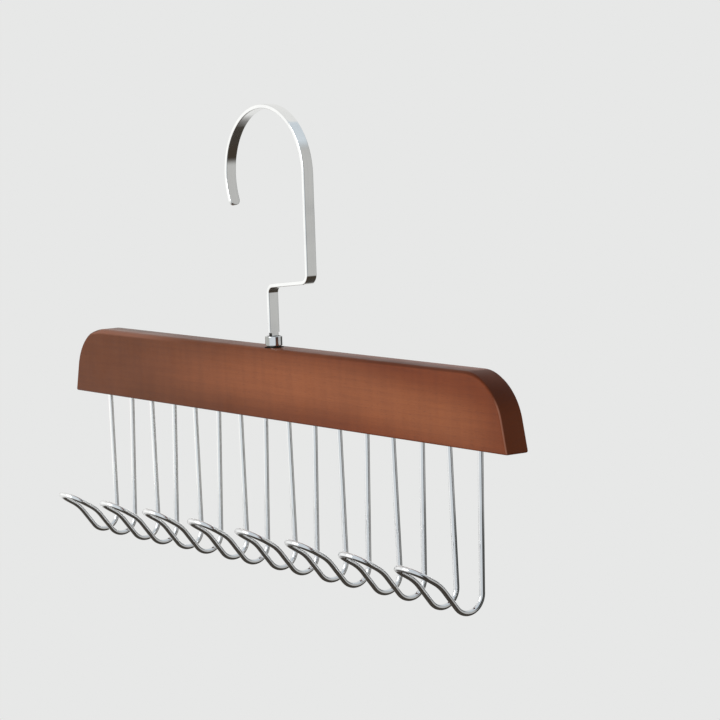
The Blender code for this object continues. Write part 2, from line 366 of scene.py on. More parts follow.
woodLook = {
    "grain": {
        "pale": (0.318, 0.095, 0.032, 1), "deep": (0.185, 0.052, 0.019, 1),
        "pore": (0.085, 0.022, 0.009, 1),
        # the year rings lie round the tree's middle line, which runs along X at this Y and Z
        "heart": (0.085, -0.30), "taper": 0.02, "ringWidth": 0.0034,
        "wobbleScale": (5, 40, 40), "wobbleDetail": 3.0, "wobble": 2.6,
        "lateFrom": (0.25, 0.92), "lateTo": (0.94, 1.0), "lateShare": 0.10,
        "blotchScale": (14, 22, 22), "blotchDetail": 3.0, "blotchRoughness": 0.55,
        "blotchSpan": (0.30, 0.72), "blotchShares": (0.0, 0.22),
        "figureScale": (190, 30, 34), "figureDetail": 2.0,
        "figureSpan": (0.35, 0.68), "figureShares": (0.0, 0.16),
        "pores": {"Frequency": (260, 6500, 6500), "From": 0.58, "To": 0.70}, "poreShare": 0.55,
        "fibres": {"Frequency": (45, 2600, 2600), "From": 0.35, "To": 0.75}, "fibreShare": 0.22,
    },
    "ends": {
        # the fibres are cut across on the ends
        "grain": (0.250, 0.092, 0.055, 1), "endwise": (0.30, 0.92),
        "dotScale": (300, 2300, 2300), "dotDetail": 2.0,
        "dotSpan": (0.35, 0.7), "dotShares": (0.55, 0.95), "lateShare": 0.15,
        # how far the surface turns to the side, and how far up
        "turned": (0.06, 0.16), "upturned": (0.22, 0.75),
        # the first colour is the ends' own stain; the second is painted shade where the ends turn
        # upward
        "stain": (0.95, 0.93, 0.93, 1), "topStain": (0.50, 0.47, 0.46, 1),
        # painted highlight along the ends' front and back edges, low down
        "rubbed": (0.36, 0.150, 0.095, 1), "rubbedTurn": (0.25, 0.55),
        "rubbedUp": (0.0, 0.0065), "rubbedUpShares": (1.0, 0.05),
        "rubbedFigure": (0.3, 0.6), "rubbedFigureShares": (0.6, 1.0),
    },
    "stain": {
        # a painted sheen band leaves the middle of the faces paler; outside it a tint, darker and
        # less red towards the left end, darkens the wood
        "left": (0.41, 0.355, 0.21, 1), "right": (0.60, 0.40, 0.22, 1),
        "leftToRight": (-0.12, 0.14),
        "wipedFrom": (-0.180, 0.055), "wipedTo": (0.135, 0.185),
        "wipedHalf": (0.002, 0.0180), "wipedShares": (0.94, 0.0), "wipedLift": 0.0012,
        "dropFrom": 0.07, "dropSlope": 0.11,  # the painted sheen band drops towards the right end
        "unevenSpan": (0.2, 0.8), "unevenShares": (0.90, 1.08),
        # painted shade along the top's front edge, most towards the right end
        "upward": (0.05, 0.50), "frontward": (0.003, -0.003), "edge": (0.50, 0.52, 0.54, 1),
        "gatheredAlong": (-0.05, 0.13), "gatheredShares": (0.05, 0.9),
        # towards the left end the same edge gets a painted sheen instead
        "sandedAlong": (-0.12, -0.06), "sandedShares": (0.42, 0.0),
    },
    "lacquer": {
        "rough": 0.42, "dulled": 0.52, "patches": 45.0, "gloss": 0.085,
        "coat": 0.16, "coatRough": 0.09, "endLoss": 0.75,
        # on the top the coat thins towards the front, less so at the left, where it is polished
        "across": (0.0058, -0.0050), "acrossShares": (1.40, 0.30),
        "acrossAlong": (-0.10, 0.10), "acrossAlongShares": (0.25, 1.0),
        "polishedAlong": (-0.12, -0.06), "polishedShares": (0.35, 0.0),
        "rippleScale": (420, 620, 620), "rippleDetail": 2.0, "rippleHeight": 0.5,
        "poreHeight": -0.35, "lateHeight": 0.06, "relief": 0.22, "reliefHeight": 0.00012,
    },
}


def makeRings(tree, place):
    look = woodLook["grain"]
    heartY, heartZ = look["heart"]
    away = stretch(tree, place, (look["taper"], 1, 1), shift=(0, -heartY, -heartZ))
    wobble = noiseNode(tree, stretch(tree, place, look["wobbleScale"]), 1.0, look["wobbleDetail"])
    rings = product(tree, vectorLength(tree, away), 1 / look["ringWidth"])
    rings = mathNode(tree, "MULTIPLY_ADD", wobble, look["wobble"], rings)
    share = mathNode(tree, "FRACT", rings)
    return product(
        tree, rangeNode(tree, share, *look["lateFrom"]),
        rangeNode(tree, share, *look["lateTo"], 1.0, 0.0))


def readWood(tree):
    # the sockets that the wood's tones are worked out from
    grain, ends, stain = (woodLook[part] for part in ("grain", "ends", "stain"))
    coords = addNode(tree, "ShaderNodeTexCoord")
    place = coords.outputs["Object"]
    spot, facing = splitAxes(tree, place), splitAxes(tree, coords.outputs["Normal"])
    sideways = mathNode(tree, "ABSOLUTE", facing["X"])
    middle = (barTop + barUnderside) / 2 + stain["wipedLift"]
    pores = placeGroup(tree, drawnLines, Vector=place, **grain["pores"])
    fibres = placeGroup(tree, drawnLines, Vector=place, **grain["fibres"])
    return {
        "place": place, "spot": spot, "facing": facing, "sideways": sideways,
        "height": mathNode(tree, "SUBTRACT", spot["Z"], middle),
        "turned": rangeNode(tree, sideways, *ends["turned"]),
        "upward": rangeNode(tree, facing["Z"], *stain["upward"]),
        "late": makeRings(tree, place),
        "blotch": noiseNode(
            tree, stretch(tree, place, grain["blotchScale"]), 1.0, grain["blotchDetail"],
            grain["blotchRoughness"]),
        "figure": noiseNode(
            tree, stretch(tree, place, grain["figureScale"]), 1.0, grain["figureDetail"]),
        "pores": pores.outputs["Lines"], "fibres": fibres.outputs["Lines"],
    }


def paintGrain(tree, wood):
    look = woodLook["grain"]
    body = mathNode(
        tree, "MULTIPLY_ADD", wood["late"], look["lateShare"],
        rangeNode(tree, wood["blotch"], *look["blotchSpan"], *look["blotchShares"]))
    figure = rangeNode(tree, wood["figure"], *look["figureSpan"], *look["figureShares"])
    body = mathNode(tree, "ADD", body, figure, clamp=True)
    color = mixColor(tree, body, look["pale"], look["deep"])
    color = mixColor(tree, product(tree, wood["fibres"], look["fibreShare"]), color, look["deep"])
    return mixColor(tree, product(tree, wood["pores"], look["poreShare"]), color, look["pore"])


def paintEndGrain(tree, wood, color):
    look = woodLook["ends"]
    dots = noiseNode(tree, stretch(tree, wood["place"], look["dotScale"]), 1.0, look["dotDetail"])
    share = mathNode(
        tree, "ADD", rangeNode(tree, dots, *look["dotSpan"], *look["dotShares"]),
        product(tree, wood["late"], look["lateShare"]))
    endwise = rangeNode(tree, wood["sideways"], *look["endwise"])
    share = mathNode(tree, "MULTIPLY", share, endwise, clamp=True)
    return mixColor(tree, share, color, look["grain"])


def stainWithPaintedSheen(tree, wood, color):
    look, along = woodLook["stain"], wood["spot"]["X"]
    # painted sheen: a paler band along the middle of the faces
    past = mathNode(tree, "MAXIMUM", mathNode(tree, "SUBTRACT", along, look["dropFrom"]), 0.0)
    offMiddle = mathNode(tree, "MULTIPLY_ADD", past, look["dropSlope"], wood["height"])
    offMiddle = mathNode(tree, "ABSOLUTE", offMiddle)
    paintedSheen = product(
        tree, rangeNode(tree, offMiddle, *look["wipedHalf"], *look["wipedShares"]),
        rangeNode(tree, along, *look["wipedFrom"]),
        rangeNode(tree, along, *look["wipedTo"], 1.0, 0.0))
    uneven = rangeNode(tree, wood["blotch"], *look["unevenSpan"], *look["unevenShares"])
    outsideSheen = mathNode(tree, "SUBTRACT", 1.0, paintedSheen)
    # the tint's share, outside the painted sheen band and uneven
    thick = mathNode(tree, "MULTIPLY", outsideSheen, uneven, clamp=True)
    rightward = rangeNode(tree, along, *look["leftToRight"])
    stain = mixColor(tree, rightward, look["left"], look["right"])
    return mixColor(tree, thick, color, stain, blend="MULTIPLY")


def stainEndsAndPaintLight(tree, wood, color):
    look = woodLook["ends"]
    # painted shade where the ends turn upward
    upturned = rangeNode(tree, wood["facing"]["Z"], *look["upturned"])
    stain = mixColor(tree, upturned, look["stain"], look["topStain"])
    color = mixColor(tree, wood["turned"], color, stain, blend="MULTIPLY")
    # painted highlight along the ends' front and back edges, low down
    frontOrBack = mathNode(tree, "ABSOLUTE", wood["facing"]["Y"])
    rubbed = product(
        tree, rangeNode(tree, frontOrBack, *look["rubbedTurn"]),
        rangeNode(tree, wood["sideways"], *look["rubbedTurn"]),
        rangeNode(tree, wood["height"], *look["rubbedUp"], *look["rubbedUpShares"]),
        rangeNode(tree, wood["figure"], *look["rubbedFigure"], *look["rubbedFigureShares"]))
    return mixColor(tree, rubbed, color, look["rubbed"])


def paintTopEdgeLight(tree, wood, color):
    look, along = woodLook["stain"], wood["spot"]["X"]
    topEdge = product(
        tree, wood["upward"], rangeNode(tree, wood["spot"]["Y"], *look["frontward"]),
        mathNode(tree, "SUBTRACT", 1.0, wood["turned"]))
    # painted shade along the top's front edge, most towards the right end
    paintedEdgeShade = rangeNode(tree, along, *look["gatheredAlong"], *look["gatheredShares"])
    paintedEdgeShade = product(tree, topEdge, paintedEdgeShade)
    color = mixColor(tree, paintedEdgeShade, color, look["edge"], blend="MULTIPLY")
    # painted sheen on the same edge towards the left end
    paintedEdgeSheen = rangeNode(tree, along, *look["sandedAlong"], *look["sandedShares"])
    return mixColor(tree, product(tree, topEdge, paintedEdgeSheen), color, woodLook["ends"]["rubbed"])


def layCoat(tree, wood):
    look, along = woodLook["lacquer"], wood["spot"]["X"]
    weight = mathNode(
        tree, "MULTIPLY_ADD", wood["turned"], -look["coat"] * look["endLoss"], look["coat"])
    across = rangeNode(tree, wood["spot"]["Y"], *look["across"], *look["acrossShares"])
    across = product(
        tree, mathNode(tree, "SUBTRACT", across, 1.0), wood["upward"],
        rangeNode(tree, along, *look["acrossAlong"], *look["acrossAlongShares"]))
    polished = rangeNode(tree, along, *look["polishedAlong"], *look["polishedShares"])
    across = mathNode(tree, "ADD", across, product(tree, wood["upward"], polished))
    return product(tree, weight, mathNode(tree, "ADD", across, 1.0))


def makeLacqueredWood():
    # stained hardwood cut as one solid, so the rings run along the faces and curve across the ends
    look = woodLook["lacquer"]
    material, tree, shader = newMaterial("lacqueredWood")
    wood = readWood(tree)
    color = paintEndGrain(tree, wood, paintGrain(tree, wood))
    color = stainEndsAndPaintLight(tree, wood, stainWithPaintedSheen(tree, wood, color))
    color = paintTopEdgeLight(tree, wood, color)
    haze = placeGroup(
        tree, handlingHaze, Vector=wood["place"], Patches=look["patches"], Clean=look["rough"],
        Dulled=look["dulled"])
    ripple = noiseNode(
        tree, stretch(tree, wood["place"], look["rippleScale"]), 1.0, look["rippleDetail"])
    ripple = product(tree, ripple, look["rippleHeight"])
    relief = mathNode(tree, "MULTIPLY_ADD", wood["pores"], look["poreHeight"], ripple)
    relief = mathNode(tree, "MULTIPLY_ADD", wood["late"], look["lateHeight"], relief)
    bump = feed(
        tree, addNode(tree, "ShaderNodeBump"), Strength=look["relief"],
        Distance=look["reliefHeight"], Height=relief)
    feed(
        tree, shader, BaseColor=color, Roughness=haze.outputs["Roughness"],
        Normal=bump.outputs["Normal"], CoatWeight=layCoat(tree, wood))
    shader.inputs["Coat Roughness"].default_value = look["coatRough"]
    shader.inputs["Specular IOR Level"].default_value = look["gloss"]
    material.diffuse_color = woodLook["grain"]["pale"]
    return material


chromeLook = {
    "tint": (0.86, 0.87, 0.88, 1), "shade": (0.70, 0.71, 0.72, 1),
    "hazeShare": 0.35, "lineShare": 0.25, "lineSpan": (0.38, 0.72),
    "swellScale": (380, 380, 380), "swellDetail": 2.0, "lineHeight": 0.25,
    "reliefHeight": 0.00006,
    "bareSteel": (0.045, 0.042, 0.038, 1), "bareRough": 0.45,  # painted shade in hollows
    "wire": {
        "clean": 0.035, "dulled": 0.11, "patches": 55.0,
        "lines": (1700, 1700, 55), "relief": 0.10,
        # the legs towards the bar's left end get a rougher plate and a painted sheen that makes
        # them paler
        "softAcross": (0.13, -0.15), "softUp": (-0.202, -0.180), "softRough": 0.24,
        "softTint": (1.0, 1.0, 0.985, 1),
        # painted dark reflection low down on the legs near the right end, on the side that faces
        # that end
        "dullDeg": 27, "dullSpan": (0.66, 0.92), "dullTint": (0.16, 0.17, 0.165, 1),
        "dullWithin": {"X": (0.06, 0.135), "Z": (-0.160, -0.186), "Y": (-0.006, -0.002)},
    },
    "strip": {
        "tint": (0.96, 0.965, 0.955, 1), "clean": 0.055, "dulled": 0.15, "patches": 42.0,
        "lines": (26, 3400, 0), "relief": 0.16,
        # above the bar's top, and off the strip's middle
        "notchUp": (0.0065, 0.0069), "notchOut": (0.00160, 0.00182),
    },
    "collar": {
        "clean": 0.04, "dulled": 0.13, "patches": 90.0,
        "lines": (260, 260, 9000), "relief": 0.20,
        "cup": (0.0031, 0.0034), "foot": (0.0006, 0.0008),  # radius, and height above the bar's top
        # painted dark reflection on the collar's front left side
        "dullDeg": -120, "dullSpan": (0.50, 0.72), "dullTint": (0.45, 0.455, 0.43, 1),
    },
}


# each of these takes the color and the roughness of the plate so far, and gives them back changed

def roughenLegsPaintSheen(tree, coords, look, color, roughness):
    spot = splitAxes(tree, coords.outputs["Object"])
    soft = product(
        tree, rangeNode(tree, spot["X"], *look["softAcross"]),
        rangeNode(tree, spot["Z"], *look["softUp"]))
    # painted sheen: the legs towards the bar's left end are made paler
    color = mixColor(tree, soft, color, look["softTint"])
    return color, mathNode(tree, "MULTIPLY_ADD", soft, look["softRough"], roughness)


def paintDarkReflection(tree, coords, look, color, roughness):
    place = coords.outputs["Object"]
    # painted dark reflection on the side that faces the given compass angle
    side = alongCompass(tree, coords.outputs["Normal"], look["dullDeg"])
    darkReflection = rangeNode(tree, side, *look["dullSpan"])
    for axis, span in look.get("dullWithin", {}).items():
        darkReflection = product(tree, darkReflection, rangeNode(tree, splitAxes(tree, place)[axis], *span))
    return mixColor(tree, darkReflection, color, look["dullTint"], blend="MULTIPLY"), roughness


def paintShade(tree, shaded, color, roughness):
    color = mixColor(tree, shaded, color, chromeLook["bareSteel"])
    return color, mathNode(tree, "MULTIPLY_ADD", shaded, chromeLook["bareRough"], roughness)


def shadeCup(tree, coords, look, color, roughness):
    # painted shade inside the cup and in the undercut
    place = coords.outputs["Object"]
    outward = vectorLength(tree, stretch(tree, place, (1, 1, 0)))
    footLow, footHigh = (barTop + height for height in look["foot"])
    shaded = mathNode(
        tree, "MAXIMUM", rangeNode(tree, outward, *look["cup"], 1.0, 0.0),
        rangeNode(tree, splitAxes(tree, place)["Z"], footLow, footHigh, 1.0, 0.0))
    return paintShade(tree, shaded, color, roughness)


def shadeNotches(tree, coords, look, color, roughness):
    # painted shade in the notches beside the strip's foot
    spot = splitAxes(tree, coords.outputs["Object"])
    low, high = (barTop + height for height in look["notchUp"])
    offMiddle = mathNode(tree, "ABSOLUTE", spot["Y"])
    shaded = product(
        tree, rangeNode(tree, spot["Z"], low, high, 1.0, 0.0),
        rangeNode(tree, offMiddle, *look["notchOut"]))
    return paintShade(tree, shaded, color, roughness)


def makeChrome(name, look, changes, alongMap=False):
    # bright plate over drawn steel: faint lines of the metal show through, and hands leave haze
    material, tree, shader = newMaterial(name)
    coords = addNode(tree, "ShaderNodeTexCoord")
    place = coords.outputs["Object"]
    linePlace = place
    if alongMap:
        linePlace = addNode(tree, "ShaderNodeUVMap", uv_map="alongMap").outputs["UV"]
    lineFrom, lineTo = chromeLook["lineSpan"]
    lines = placeGroup(
        tree, drawnLines, Vector=linePlace, Frequency=look["lines"], From=lineFrom,
        To=lineTo).outputs["Lines"]
    haze = placeGroup(
        tree, handlingHaze, Vector=place, Patches=look["patches"], Clean=look["clean"],
        Dulled=look["dulled"])
    tone = product(tree, haze.outputs["Mask"], chromeLook["hazeShare"])
    tone = mathNode(tree, "MULTIPLY_ADD", lines, chromeLook["lineShare"], tone, clamp=True)
    color = mixColor(tree, tone, look.get("tint", chromeLook["tint"]), chromeLook["shade"])
    roughness = haze.outputs["Roughness"]
    for change in changes:
        color, roughness = change(tree, coords, look, color, roughness)
    swell = noiseNode(
        tree, stretch(tree, place, chromeLook["swellScale"]), 1.0, chromeLook["swellDetail"])
    relief = mathNode(tree, "MULTIPLY_ADD", lines, chromeLook["lineHeight"], swell)
    bump = feed(
        tree, addNode(tree, "ShaderNodeBump"), Strength=look["relief"],
        Distance=chromeLook["reliefHeight"], Height=relief)
    feed(tree, shader, BaseColor=color, Roughness=roughness, Normal=bump.outputs["Normal"])
    shader.inputs["Metallic"].default_value = 1.0
    material.diffuse_color = chromeLook["tint"]
    return material


zincLook = {
    "pale": (0.52, 0.52, 0.51, 1), "deep": (0.38, 0.38, 0.38, 1),
    "patches": 300.0, "clean": 0.3, "dulled": 0.48,
}


def makeZincSteel():
    material, tree, shader = newMaterial("zincSteel")
    haze = placeGroup(
        tree, handlingHaze, Vector=addNode(tree, "ShaderNodeTexCoord").outputs["Object"],
        Patches=zincLook["patches"], Clean=zincLook["clean"], Dulled=zincLook["dulled"])
    color = mixColor(tree, haze.outputs["Mask"], zincLook["pale"], zincLook["deep"])
    feed(tree, shader, BaseColor=color, Roughness=haze.outputs["Roughness"])
    shader.inputs["Metallic"].default_value = 1.0
    return material


lacqueredWood = makeLacqueredWood()
chromeWire = makeChrome("chromeWire", chromeLook["wire"], [roughenLegsPaintSheen, paintDarkReflection])
chromeStrip = makeChrome("chromeStrip", chromeLook["strip"], [shadeNotches], alongMap=True)
chromeCollar = makeChrome("chromeCollar", chromeLook["collar"], [shadeCup, paintDarkReflection])
zincSteel = makeZincSteel()
print("materials made")


beltWire = {
    "thick": 0.0025, "sides": 20,
    "legSpread": 0.0211, "throatSpread": 0.0174,  # between the legs, at the bar and below
    "embed": 0.016, "throatDrop": 0.0605, "throatRadius": 0.0077,
    "riseDeg": 52, "rise": 0.0137, "elbowRadius": 0.020,
    "lipDeg": 31, "lip": 0.0154, "kinkRadius": 0.03,
    "throatSteps": 22, "elbowSteps": 8, "tipSteps": 24, "kinkSteps": 2, "smoothDeg": 40,
}

# how far each hand-set wire hangs from the even row: down in metres, then yaw and swing in degrees
wireSets = [
    (0.0004, 0.0, -0.2), (0.0002, 0.0, -0.25), (-0.0003, 0.0, -0.3), (-0.0004, 0.3, -0.25),
    (-0.0007, -0.1, 0.0), (-0.0005, -0.4, 0.0), (-0.0004, 0.0, 0.25), (0.0003, 0.0, 0.15),
]


def bendBeltWire():
    # one wire, from the top of its left leg round the lip to the top of its right leg, about X = 0
    wire = beltWire
    half = wire["throatSpread"] / 2
    outward = wire["legSpread"] / 2 - half
    lean = math.atan(outward / wire["throatDrop"])
    rise = math.radians(wire["riseDeg"])
    lip = math.radians(wire["lipDeg"])
    tangent = wire["elbowRadius"] * math.tan((rise - lip) / 2)
    topX = wire["legSpread"] / 2 + wire["embed"] * math.tan(lean)
    top = Vector((-topX, 0, barUnderside + wire["embed"]))
    legLength = (wire["embed"] + wire["throatDrop"]) / math.cos(lean)
    kink = wire["kinkRadius"] * math.tan(lean / 2)

    piece = addPrimitive(
        bpy.ops.mesh.primitive_circle_add, "belt_wire", vertices=wire["sides"],
        radius=wire["thick"] / 2, fill_type="NOTHING", location=top, rotation=(0, -lean, 0))
    bpy.ops.mesh.select_all(action="SELECT")
    way = beginWay(top, (math.sin(lean), 0, -math.cos(lean)))
    # a straight run is its length, and a bend its radius, angle, axis and steps
    moves = [
        (legLength - kink,),
        (wire["kinkRadius"], lean, (0, 1, 0), wire["kinkSteps"]),
        (wire["throatRadius"], math.pi / 2 + rise, (-1, 0, 0), wire["throatSteps"]),
        (wire["rise"] - tangent,),
        (wire["elbowRadius"], rise - lip, (1, 0, 0), wire["elbowSteps"]),
        (wire["lip"] - tangent - half,),
    ]
    for move in moves:
        if len(move) == 1:
            runOn(way, *move)
        else:
            bendOn(way, *move)
    tipAxis = way["heading"].cross(Vector((1, 0, 0)))
    bendOn(way, half, math.pi, tipAxis, wire["tipSteps"])
    for move in reversed(moves):  # back along the other side
        if len(move) == 1:
            runOn(way, *move)
        else:
            radius, angle, (x, y, z), steps = move
            bendOn(way, radius, angle, (-x, y, z), steps)
    bpy.ops.mesh.select_all(action="SELECT")
    bpy.ops.mesh.fill_holes(sides=0)
    cleanUp()
    return piece


def makeBeltWires():
    first = bendBeltWire()
    for index, (down, yaw, swing) in enumerate(wireSets):
        low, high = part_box(f"belt_hook_{index + 1}")
        selectOnly(first)
        bpy.ops.object.duplicate(linked=False)
        piece = bpy.context.object
        piece.name = f"belt_wire_{index + 1}"
        turn = Matrix.Rotation(math.radians(yaw), 4, "Z")
        turn = turn @ Matrix.Rotation(math.radians(swing), 4, "X")
        pivot = Matrix.Translation((0, 0, barUnderside))
        shift = Matrix.Translation(((low.x + high.x) / 2, 0, -down))
        piece.matrix_world = shift @ pivot @ turn @ pivot.inverted()
        bpy.ops.object.transform_apply(location=True, rotation=True, scale=True)
        softShading(piece, beltWire["smoothDeg"])
        dress(piece, "bar", [f"belt_hook_{index + 1}"], chromeWire)
    bpy.data.objects.remove(first, do_unlink=True)


makeBeltWires()
print("belt wires bent")


railHook = {
    # heights are above the bar's top
    "width": 0.0055, "thick": 0.002, "edgeRound": 0.00045, "edgeSteps": 4, "edgeDeg": 50,
    "seatHeight": 0.110, "archRadius": 0.0315, "archSweepDeg": 200, "archSteps": 104,
    "jogHeight": 0.030, "jogSlopeDeg": 5.5, "bendRadius": 0.004, "bendSteps": 18,
    "tip": 0.004, "tipRound": 0.46, "tipSteps": 8, "footHeight": 0.0019,
    "stem": 0.0036, "stemHead": 0.0048, "headHeight": 0.0014, "headTop": -0.002, "stemSides": 48,
    # both edges are cut back beside the foot, which leaves the tongue
    "tongue": 0.0038, "notchTop": 0.0069, "notchOverrun": 0.002,
    "smoothDeg": 38, "near": 0.00001,
}


def cutNotches(piece, footZ):
    hook = railHook
    low, high = footZ - hook["notchOverrun"], barTop + hook["notchTop"]
    wide = (hook["width"] - hook["tongue"]) / 2 + hook["notchOverrun"]
    size = (hook["thick"] + 2 * hook["notchOverrun"], wide, high - low)
    for side in (-1, 1):
        middle = Vector((0, side * (hook["tongue"] + wide) / 2, (low + high) / 2))
        cutter = addSized(bpy.ops.mesh.primitive_cube_add, "notch", middle, size)
        bpy.ops.object.mode_set(mode="OBJECT")
        cutWith(piece, cutter, "DIFFERENCE")


def joinStem(piece, footZ):
    hook = railHook
    radius, head, shoulder = hook["stem"] / 2, hook["stemHead"] / 2, hook["thick"] / 2
    headTop = barTop + hook["headTop"]
    headLow = headTop - hook["headHeight"]
    inStrip = footZ + hook["thick"]
    dome = head - radius
    stem = turnProfile("stem", [
        (0, inStrip), (shoulder, inStrip), (radius, footZ), (radius, headTop), (head, headTop),
        (head, headLow + dome), (radius, headLow), (0, headLow)], hook["stemSides"])
    cutWith(piece, stem, "UNION")


def bendRailHook():
    hook = railHook
    turn = math.pi / 2 - math.radians(hook["jogSlopeDeg"])
    across = hook["bendRadius"] * (1 - math.cos(turn))
    jogRun = (hook["archRadius"] - 2 * across) / math.sin(turn)
    halfJog = hook["bendRadius"] * math.sin(turn) + jogRun * math.cos(turn) / 2
    jogStart, jogEnd = hook["jogHeight"] - halfJog, hook["jogHeight"] + halfJog
    archStart = hook["seatHeight"] - hook["archRadius"] + hook["thick"] / 2
    foot = Vector((0, 0, barTop + hook["footHeight"]))

    section = (hook["thick"], hook["width"], 1)
    piece = addSized(bpy.ops.mesh.primitive_plane_add, "rail_hook_strip", foot, section)
    bpy.ops.mesh.delete(type="ONLY_FACE")
    bpy.ops.mesh.select_all(action="SELECT")
    way = beginWay(foot, (0, 0, 1))
    right, left = (0, 1, 0), (0, -1, 0)
    runOn(way, jogStart - hook["footHeight"])
    bendOn(way, hook["bendRadius"], turn, right, hook["bendSteps"])
    runOn(way, jogRun)
    bendOn(way, hook["bendRadius"], turn, left, hook["bendSteps"])
    runOn(way, archStart - jogEnd)
    bendOn(way, hook["archRadius"], math.radians(hook["archSweepDeg"]), left, hook["archSteps"])
    runOn(way, hook["tip"])
    bpy.ops.mesh.select_all(action="SELECT")
    bpy.ops.mesh.fill_holes(sides=0)
    bpy.ops.mesh.normals_make_consistent(inside=False)

    end, heading = way["at"], way["heading"]

    def atTipCorner(edge):
        first, second = edge.verts[0].co, edge.verts[1].co
        past = max(abs((corner - end).dot(heading)) for corner in (first, second))
        return past < hook["near"] and abs(first.y - second.y) < hook["near"]

    pick("EDGE", atTipCorner)
    bpy.ops.mesh.bevel(
        offset=hook["tipRound"] * hook["width"], segments=hook["tipSteps"], affect="EDGES")
    cleanUp()
    applyModifier(
        piece, "BEVEL", width=hook["edgeRound"], segments=hook["edgeSteps"], limit_method="ANGLE",
        angle_limit=math.radians(hook["edgeDeg"]))
    cutNotches(piece, foot.z)
    joinStem(piece, foot.z)
    softShading(piece, hook["smoothDeg"])
    mapAlong(piece, way["trail"])
    dress(piece, "rail_hook", ["hook_strip"], chromeStrip)


bendRailHook()
print("rail hook bent")


collarValues = {
    "wide": 0.0082, "stand": 0.0052, "cupDepth": 0.0036, "cupWall": 0.0009, "web": 0.0022,
    "shank": 0.0066, "shankWall": 0.0005, "shankLength": 0.010, "flangeLow": -0.0005,
    "bore": 0.0042, "barb": 0.0002, "barbPitch": 0.0022, "barbs": 3,
    "undercut": (0.0008, 0.0008),  # how deep in, and how far up from the bar's top
    "lipRound": 0.00028, "lipSteps": 3, "sides": 96, "smoothDeg": 38, "near": 1e-6,
}


def turnCollar():
    collar = collarValues
    head = collar["wide"] / 2
    cup = head - collar["cupWall"]
    shank, bore = collar["shank"] / 2, collar["bore"] / 2
    rim = barTop + collar["stand"]
    webTop = rim - collar["cupDepth"]
    webLow = webTop - collar["web"]
    flange = barTop + collar["flangeLow"]
    low = flange - collar["shankLength"]
    neck, ledge = head - collar["undercut"][0], barTop + collar["undercut"][1]
    profile = [(head, rim), (head, ledge), (neck, ledge), (neck, flange), (shank, flange)]
    for index in range(collar["barbs"]):
        crest = flange - collar["barbPitch"] * (index + 1)
        profile += [
            (shank, crest + collar["barbPitch"] / 4), (shank + collar["barb"], crest),
            (shank, crest - collar["barbPitch"] / 2)]
    inner = shank - collar["shankWall"]
    profile += [
        (shank, low), (inner, low), (inner, webLow), (bore, webLow), (bore, webTop),
        (cup, webTop), (cup, rim), (head, rim)]
    piece = turnProfile("collar_sleeve", profile, collar["sides"])

    def rimOrLedge(edge):
        # the two rims at the top and the lower edge of the band
        first, second = edge.verts[0].co, edge.verts[1].co
        near, away = collar["near"], math.hypot(first.x, first.y)
        if abs(first.z - second.z) > near or abs(away - math.hypot(second.x, second.y)) > near:
            return False
        atLedge = abs(first.z - ledge) < near and abs(away - head) < near
        return atLedge or abs(first.z - rim) < near

    bpy.ops.object.mode_set(mode="EDIT")
    pick("EDGE", rimOrLedge)
    bpy.ops.mesh.bevel(offset=collar["lipRound"], segments=collar["lipSteps"], affect="EDGES")
    cleanUp()
    softShading(piece, collar["smoothDeg"])
    dress(piece, "bar", ["swivel_collar"], chromeCollar)


turnCollar()
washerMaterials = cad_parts["thrust_washer"].data.materials
washerMaterials.clear()
washerMaterials.append(zincSteel)
print("collar turned")


barValues = {
    "leanDeg": 13, "corner": 0.025, "cornerSteps": 28, "cornerBlend": 0.518,
    "edgeRound": 0.0010, "edgeSteps": 7,
    # the top's front edge is sanded rounder, most at the left end; its back edge is left sharper
    "frontWider": (2.8, 1.5), "backWider": (0.5, 0.5), "runsOut": 0.0030, "rowReach": 1.1,
    "hole": 0.0028, "holeDepth": 0.0175, "holeSides": 28,
    "recess": 0.0092, "recessDepth": 0.0008, "recessSides": 96,
    "collarHole": 0.0076, "collarHoleDepth": 0.0125, "overrun": 0.004,
    # how near is near enough, for points in a row of the rounding, edges and corners
    "nearRow": 0.00005, "nearEdge": 0.0001, "nearCorner": 0.001, "smoothDeg": 38,
}


def widenTopEdges(corners):
    # each row of the rounding is drawn out from the sharp corner that it stands for
    bar = barValues
    near, reach = bar["nearRow"], bar["edgeRound"] * bar["rowReach"]
    for number in range(1, len(corners) - 1):
        before, here, after = (Vector((x, 0, z)) for x, z in corners[number - 1:number + 2])
        along = ((here - before).normalized() + (after - here).normalized()).normalized()
        inward = Vector((along.z, 0, -along.x))
        share = 1 - (barTop - here.z) / bar["runsOut"]
        share = share * share * (3 - 2 * share)  # eased at both ends
        leftOrRight = 0 if here.x < 0 else 1
        for side in (-1, 1):
            widest = bar["frontWider" if side < 0 else "backWider"][leftOrRight]
            wider = 1 + (widest - 1) * share
            corner = Vector((here.x, side * (barHigh.y - barLow.y) / 2, here.z))

            def inRow(vert):
                offset = vert.co - corner
                return (
                    abs(offset.dot(along)) < near and -near < offset.dot(inward) < reach
                    and abs(offset.y) < reach)

            pick("VERT", inRow)
            bpy.ops.transform.resize(value=(wider, wider, wider), center_override=corner)


